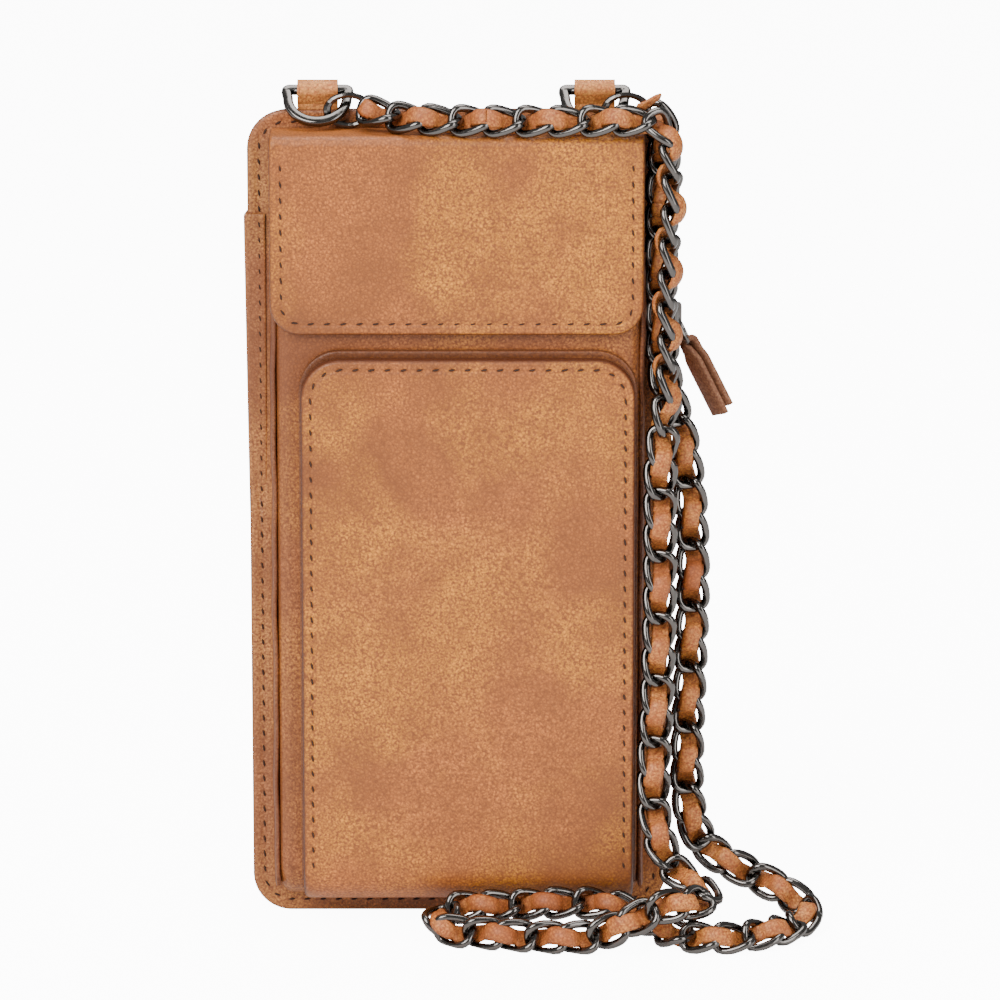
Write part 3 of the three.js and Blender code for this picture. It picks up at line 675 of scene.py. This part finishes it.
def end_tab_height(z):
    """How far the folded leather over the zip's end stands proud of the left side. It tapers
    downwards until it goes under the surface."""
    if z > END_TAB_TOP:
        return 0
    t = max(0, (z - END_TAB_LOW) / (END_TAB_TOP - END_TAB_LOW))
    return END_TAB_PROUD * t ** 0.8 - END_TAB_SUNK * (1 - t)


def end_tab_left():
    """Leather folded round the left side, from the front panel to the back one."""
    points = []
    r = END_TAB_ROUND
    quarter = np.linspace(0, math.pi / 2, 6)
    levels = [(END_TAB_TOP, 0.32), (END_TAB_TOP - 0.1, 0.12), (END_TAB_TOP - 0.4, 0.02)]
    levels += [(z, 0) for z in range(END_TAB_TOP - 2, END_TAB_LOW - 1, -4)]
    for z, less in levels:
        thick = end_tab_height(z) - less
        x, y0, y1 = -48.5 - thick, -thick, 12 + thick
        outer = [(END_TAB_LEG, y0 + 0.12), (-44.32, y0), (-44.7, y0), (-47.6, y0)]
        outer += [(x + r - r * math.sin(a), y0 + r - r * math.cos(a)) for a in quarter]
        outer += [(x + r - r * math.cos(a), y1 - r + r * math.sin(a)) for a in quarter]
        outer += [(-47.6, y1), (-44.7, y1), (-44.32, y1), (END_TAB_LEG, y1 - 0.12)]
        inner = [(max(px, -47.9), min(max(py, 0.4), 11.6)) for px, py in outer]
        points += [(px + (NARROWER_BACK if px < -46 else 0) * min(max((py - 1) / 10, 0), 1), py, z)
                   for px, py in outer + inner[::-1]]
    n = len(points) // len(levels)
    faces = tube_faces(len(levels), n, False)
    for base, turn in ((0, -1), ((len(levels) - 1) * n, 1)):
        for k in range(n // 2 - 1):
            faces.append([base + k, base + k + 1, base + n - 2 - k, base + n - 1 - k][::turn])
    made = mesh_object("zip end left", points, faces, SHADE)
    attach(made, "wallet")
    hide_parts("zip_end_tab_left")


def panel(name, half, tall, corner, y, facing, node):
    """A flat panel with rolled edges. facing is -1 for the front and 1 for the back."""
    line = [(y, tall), (y, 0)] if facing < 0 else [(y, 0), (y, tall)]
    made = skin(name, Path(line), -half, half, 1.55, 0.7, SHADE, corners=(corner, corner),
                relief=lambda x, s, d: groove(d, SEAM_INSET, 0.22, 0.7),
                paint=lambda x, s, d: 0.75 * np.clip(1 - d / 0.5, 0, 1))
    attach(made, "wallet")
    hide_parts(node)


panel("front panel", HALF, TALL, CORNER, 0.02, -1, "front_panel")
panel("back panel", BACK_HALF, BACK_TALL, BACK_CORNER, 11.98, 1, "back_panel")
outline = rounded_line(-HALF + SEAM_INSET, HALF - SEAM_INSET, SEAM_INSET, TALL - SEAM_INSET,
                       CORNER - SEAM_INSET, 0.1)
seam = [(x, y - (max(0, end_tab_height(z)) if x < END_TAB_LEG else 0), z) for x, y, z in dense(outline)]
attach(stitches("front seam", seam, front_out), "wallet")
seam = rounded_line(-BACK_HALF + SEAM_INSET, BACK_HALF - SEAM_INSET, SEAM_INSET,
                    BACK_TALL - SEAM_INSET, BACK_CORNER - SEAM_INSET, 11.9)
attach(stitches("back seam", seam, lambda _: (0, 1, 0)), "wallet")


def closed_sweep(name, line, ups, section, look):
    """A bar of the given section swept round a closed line."""
    count = len(line)
    points = []
    for i in range(count):
        along = line[(i + 1) % count] - line[i - 1]
        along /= np.linalg.norm(along)
        across = np.cross(along, ups)
        points += [line[i] + across * a + ups * b for a, b in section]
    return mesh_object(name, points, tube_faces(count, len(section), True), look)


BAR_Y, BAR_Z, RING_LEAN = 2.7, 194.2, math.radians(42)
RING_HALF, RING_FLARE, RING_SHOULDER, RING_CORNER = 6.7, 0.4, 2.6, 0.7
RING_WIDE, RING_THICK = 1.15, 0.95   # half the wire's section
TAB_X = {"left": -32.1, "right": 31.1}


def d_ring(side):
    """A D-ring of flat wire with softened edges. Its bar lies in the tab's fold."""
    r, k, drop, top = RING_CORNER, math.pi / 2, RING_SHOULDER, RING_HALF + RING_FLARE
    flat = [(x, 0) for x in np.linspace(-top + r, top - r, 8)]
    flat += [(top - r + r * math.sin(a), -r + r * math.cos(a)) for a in np.linspace(0.3, k, 5)]
    flat += [(RING_HALF * math.cos(a), -drop - RING_HALF * math.sin(a))
             for a in np.linspace(0, math.pi, 36)]
    flat += [(-top + r - r * math.cos(a), -r + r * math.sin(a))
             for a in np.linspace(0, k - 0.3, 5)]
    down = np.array([0, -math.cos(RING_LEAN), -math.sin(RING_LEAN)])
    out = np.array([0, -math.sin(RING_LEAN), math.cos(RING_LEAN)])
    bar = np.array([TAB_X[side], BAR_Y, BAR_Z])
    line = np.array([bar + np.array([x, 0, 0]) - down * d for x, d in flat])
    section = []
    for a in np.linspace(0, 2 * math.pi, 16, endpoint=False):
        x, y = rounded(a, 0.6)
        section.append((RING_WIDE * x, RING_THICK * y))
    made = closed_sweep(f"D-ring {side}", line, out, section, GUNMETAL)
    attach(made, f"ring_{side}")
    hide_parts(f"d_ring_{side}")


def pocket_gusset(side):
    """The soft strip between the pocket's rolled edge and the front panel, in a darker leather that is
    painted shade of the recess.
    """
    x, sign = {"left": (-42.25, -1), "right": (41.9, 1)}[side]
    heights = np.linspace(8.6, 158, 40)
    centres = [(x + 0.12 * math.sin(z / 7) + 0.1 * math.sin(z / 3.1), -4.5, z) for z in heights]
    made = ribbon(f"pocket gusset {side}", centres, [(0, sign, 0)] * 40, [8.8] * 40, 1.0, SHADED_FOLD, 0.5)
    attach(made, "wallet")
    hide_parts(f"phone_pocket_gusset_{side}")


dress("lower_gusset", TAN_SIDE, 0.3)
dress("zip_end_tab_right", TAN, 0.3)
end_tab_left()
for node in ("front_lining", "back_lining", "phone_pocket_lining", "slip_pocket_lining"):
    dress(node, LINING)
for node in ("front_board", "back_board"):
    dress(node, BOARD)
for node in ("zip_tape_front", "zip_tape_back"):
    dress(node, TAPE)
for node in ("zip_slider", "zip_slider_inner_plate"):
    dress(node, GUNMETAL, 0.35)
dress("zip_pull_ring", GUNMETAL, smooth=True)


def pull_thong():
    """The zip's pull: a strip folded round the ring's lower side, its leaves turned by use."""
    lean = math.radians(26.6)
    down = np.array([math.sin(lean), 0, -math.cos(lean)])
    level = np.array([math.cos(lean), 0, math.sin(lean)])
    pivot = np.array([49.5, 6.0, 142.0])
    steps = [(-1.1, s) for s in np.linspace(26.3, 10.5, 14)]
    steps += [(-1.4 * math.cos(a), 8.4 - 1.4 * math.sin(a)) for a in np.linspace(0, math.pi, 13)]
    steps += [(1.1, s) for s in np.linspace(10.5, 25.2, 14)]
    turn = math.radians(36)
    wide = np.array([0, 1.0, 0]) * math.cos(turn) - level * math.sin(turn)
    out = level * math.cos(turn) + np.array([0, 1.0, 0]) * math.sin(turn)
    centres = [pivot + down * s + out * offset for offset, s in steps]
    wides = [wide] * len(steps)
    widths = [2.6 + 3.2 * min(max((s - 9.2) / 3, 0), 1) for _, s in steps]
    made = ribbon("zip pull leather", centres, wides, widths, 1.25, SUEDE)
    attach(made, "pull")
    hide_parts("zip_pull_thong")


pull_thong()
for side in ("left", "right"):
    dress(f"wall_magnet_{side}", STEEL)
    dress(f"flap_magnet_{side}", STEEL)
    # The strap tabs take the lighter leather, which is painted light from above.
    dress(f"strap_tab_{side}", LIT_TAB, 0.25)
    d_ring(side)
    pocket_gusset(side)
    dress(f"chain_end_link_{side}", GUNMETAL, smooth=True)
dress("slip_pocket_pad", FOAM)


def zip_line(inset, left_end=166.0, right_end=132.0, step=0.5):
    """Points and outward directions in X and Z along the zip, at even steps."""
    turn, level, radius = HALF - CORNER, TALL - CORNER, CORNER - inset
    points = [(-HALF + inset, z) for z in np.arange(left_end, level, step)]
    points += [(-turn + radius * math.cos(a), level + radius * math.sin(a))
               for a in np.linspace(math.pi, math.pi / 2, 24)]
    points += [(x, TALL - inset) for x in np.arange(-turn + step, turn, step)]
    points += [(turn + radius * math.cos(a), level + radius * math.sin(a))
               for a in np.linspace(math.pi / 2, 0, 24)]
    points += [(HALF - inset, z) for z in np.arange(level - step, right_end, -step)]
    return np.array(points)


def teeth(name, y0, y1, offset, node, pitch=1.35):
    """A row of cast teeth on the zip's tape, set half a pitch off the row that it meets."""
    line = zip_line(2.0)
    marks = np.concatenate([[0], np.cumsum(np.linalg.norm(np.diff(line, axis=0), axis=1))])
    parts = []
    for s in np.arange(offset + 0.7, marks[-1] - 0.7, pitch):
        here = np.array([np.interp(s, marks, line[:, i]) for i in (0, 1)])
        ahead = np.array([np.interp(s + 0.3, marks, line[:, i]) for i in (0, 1)])
        t = (ahead - here) / np.linalg.norm(ahead - here)
        n = np.array([-t[1], t[0]])
        corners = []
        for y in (y0, y1):
            for a, b in ((-0.38, -0.8), (0.38, -0.8), (0.38, 0.8), (-0.38, 0.8)):
                q = here + t * a + n * b
                corners.append((q[0], y, q[1]))
        parts.append((corners, [[0, 1, 2, 3], [7, 6, 5, 4], [0, 4, 5, 1], [1, 5, 6, 2],
                                [2, 6, 7, 3], [3, 7, 4, 0]]))
    made = join_parts(name, parts, GUNMETAL, False)
    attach(made, "wallet")
    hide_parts(node)


teeth("front zip teeth", 4.6, 6.2, 0, "zip_teeth_front")
teeth("back zip teeth", 5.8, 7.4, 0.675, "zip_teeth_back")

# ---------------------------------------------------------------- phone pocket

wall_line = [(-10.4, 160.0), (-10.4, 120), (-10.4, 60)] + arc((-0.1, 14), (10.3, 9), 180, 262)
wall = skin("phone pocket wall", Path(wall_line), -41.7, 41.6, 1.7, 3.0, WALL, across=71,
            paint=lambda x, s, d: 0.3 * np.clip(1 - d / 1.2, 0, 1), ends=(False, False), wrap=True)
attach(wall, "wallet")
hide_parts("phone_pocket_wall")

# ---------------------------------------------------------------- slip pocket

SLIP_LEFT, SLIP_RIGHT, SLIP_TOP, SLIP_FRONT = -36.0, 40.4, 135.2, -17.2
SLIP_CORNER, SLIP_INSET = 9, 2.3
slip_line = [(SLIP_FRONT, SLIP_TOP), (SLIP_FRONT, 90), (SLIP_FRONT, 50)]
slip_line += arc((-1.5, 14), (15.7, 9.8), 180, 248)


def slip_relief(x, s, d):
    """Soft padding: the seam is sunk and the middle stands a little prouder."""
    fade = np.clip((128 - s) / 16, 0, 1)
    sunk = groove(d, SLIP_INSET, 0.32, 0.8) * fade
    swell = 0.35 * (1 - np.exp(-d / 7)) * fade
    wave = 0.10 * np.sin(x / 9 + s / 31) * np.sin(s / 17 + 1)
    return sunk + swell - 0.35 + wave * np.clip(d / 6, 0, 1)


def slip_paint_and_shadow(x, s, d):
    """Painted at the rim and a little darker for a few millimetres inside it, and darker towards the
    lower right corner, which is a painted shadow of the chain hanging beside it.
    """
    # Painted shadow of the chain strand that hangs beside the pocket's lower right corner.
    chain_shadow = 0.3 * np.clip((x - 14) / 26, 0, 1) * np.clip((s - 80) / 45, 0, 1)
    return np.clip(np.clip(1.25 - d / 0.6, 0, 1) + 0.16 * np.exp(-d / 3) + chain_shadow, 0, 1)


slip = skin("slip pocket", Path(slip_line), SLIP_LEFT, SLIP_RIGHT, 4.4, 1.3, TAN,
            corners=(SLIP_CORNER, 0), relief=slip_relief, paint=slip_paint_and_shadow, ends=(True, False),
            across=81, along=111)
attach(slip, "wallet")
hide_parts("slip_pocket_shell")

# The pocket's mouth has a painted lip that stands a little higher than its padded front.
lip = skin("slip pocket lip", Path([(-12.5, 136.5), (-12.5, 80), (-12.5, 11)]), SLIP_LEFT - 0.5,
           SLIP_RIGHT + 0.5, 2.1, 0.4, PAINT, corners=(9.5, 0), across=41, along=51)
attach(lip, "wallet")

seam_y, shoulder, turn = SLIP_FRONT + 0.42, SLIP_TOP - SLIP_CORNER, SLIP_CORNER - SLIP_INSET
quarter = np.linspace(0, math.pi / 2, 10)
seam = [(SLIP_LEFT + SLIP_INSET, seam_y, z) for z in np.linspace(14, shoulder, 40)]
seam += [(SLIP_LEFT + SLIP_CORNER - turn * math.cos(a), seam_y, shoulder + turn * math.sin(a))
         for a in quarter]
seam += [(SLIP_RIGHT - SLIP_CORNER + turn * math.sin(a), seam_y, shoulder + turn * math.cos(a))
         for a in quarter]
seam += [(SLIP_RIGHT - SLIP_INSET, seam_y, z) for z in np.linspace(shoulder, 14, 40)]
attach(stitches("slip pocket seam", seam, front_out), "wallet")


# ---------------------------------------------------------------- flap

FLAP_LEFT, FLAP_RIGHT, FLAP_FRONT, FLAP_LOW, SHELF = -42.9, 42.3, -13.1, 140.2, 185.9
BEND, FLAP_CORNER, FLAP_INSET = 2.6, 7, 2.6
flap_line = [(-0.2, SHELF), (-4, SHELF), (-8, SHELF)]
flap_line += arc((FLAP_FRONT + BEND, SHELF - BEND), BEND, 90, 180)
flap_line += [(FLAP_FRONT, 175), (FLAP_FRONT, 160), (FLAP_FRONT, FLAP_LOW)]


def flap_relief(x, s, d):
    """The seam is sunk, and the front bows in a little below the crease."""
    from_crease = s - 13
    sunk = groove(d, FLAP_INSET, 0.28, 0.75) * np.clip(from_crease / 3, 0, 1)
    bow = -0.25 * np.clip(from_crease / 8, 0, 1) * (1 - np.exp(-d / 12))
    return sunk + bow * 0.6 + 0.08 * np.sin(x / 13 + 1) * np.clip(from_crease / 10, 0, 1)


flap = skin("flap", Path(flap_line), FLAP_LEFT, FLAP_RIGHT, 2.3, 0.9, TAN, corners=(0, FLAP_CORNER),
            relief=flap_relief, ends=(False, True), across=71, along=121,
            paint=lambda x, s, d: 0.75 * np.clip(1 - d / 0.6, 0, 1) + 0.14 * np.exp(-d / 3))
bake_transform(flap)
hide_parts("flap_shelf", "flap_leather", "flap_lining")
seam = rounded_line(FLAP_LEFT + FLAP_INSET, FLAP_RIGHT - FLAP_INSET, FLAP_LOW + FLAP_INSET, 180.5,
                    FLAP_CORNER - FLAP_INSET, FLAP_FRONT + 0.32, open_top=True)
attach(stitches("flap seam", seam, front_out), "flap")


# ---------------------------------------------------------------- floor and light

FLOOR_LIGHT, FLOOR_SEEN = 0.2, 11     # the floor's glow on the wallet, and as the camera sees it
WORLD_LIGHT, WORLD_SEEN = 0.3, 12.0


def seen_strength(nodes, links, light, seen, target):
    """Gives an emission one strength as a light and another one as a backdrop."""
    path = nodes.new("ShaderNodeLightPath")
    strength = nodes.new("ShaderNodeMapRange")
    links.new(path.outputs["Is Camera Ray"], strength.inputs["Value"])
    strength.inputs["To Min"].default_value = light
    strength.inputs["To Max"].default_value = seen
    links.new(strength.outputs["Result"], target)


def floor():
    data = bpy.data.meshes.new("floor")
    data.from_pydata([(-6, -6, 0), (6, -6, 0), (6, 6, 0), (-6, 6, 0)], [], [[0, 1, 2, 3]])
    made = bpy.data.objects.new("floor", data)
    bpy.context.scene.collection.objects.link(made)
    look, nodes, links, shader = new_material("floor")
    shader.inputs["Base Color"].default_value = (0.86, 0.86, 0.86, 1)
    shader.inputs["Roughness"].default_value = 0.8
    shader.inputs["Specular IOR Level"].default_value = 0.1
    shader.inputs["Emission Color"].default_value = (1, 1, 1, 1)
    seen_strength(nodes, links, FLOOR_LIGHT, FLOOR_SEEN, shader.inputs["Emission Strength"])
    data.materials.append(look)


def white_world():
    world = bpy.data.worlds.new("world")
    world.use_nodes = True
    nodes, links = world.node_tree.nodes, world.node_tree.links
    nodes["Background"].inputs["Color"].default_value = (1, 1, 1, 1)
    seen_strength(nodes, links, WORLD_LIGHT, WORLD_SEEN, nodes["Background"].inputs["Strength"])
    bpy.context.scene.world = world


def area(name, place, aim, size, power):
    data = bpy.data.lights.new(name, "AREA")
    data.shape = "RECTANGLE"
    data.size, data.size_y = size
    data.energy = power
    made = bpy.data.objects.new(name, data)
    bpy.context.scene.collection.objects.link(made)
    made.location = place
    made.rotation_euler = (Vector(aim) - Vector(place)).to_track_quat("-Z", "Y").to_euler()


floor()
white_world()
area("key", (-0.75, -1.1, 1.15), (0, 0, 0.1), (1.1, 1.1), 37)
area("fill", (1.0, -1.0, 0.6), (0, 0, 0.1), (0.5, 1.4), 11)
area("top", (0.1, 0.15, 1.3), (0, 0, 0), (1.0, 0.6), 12)
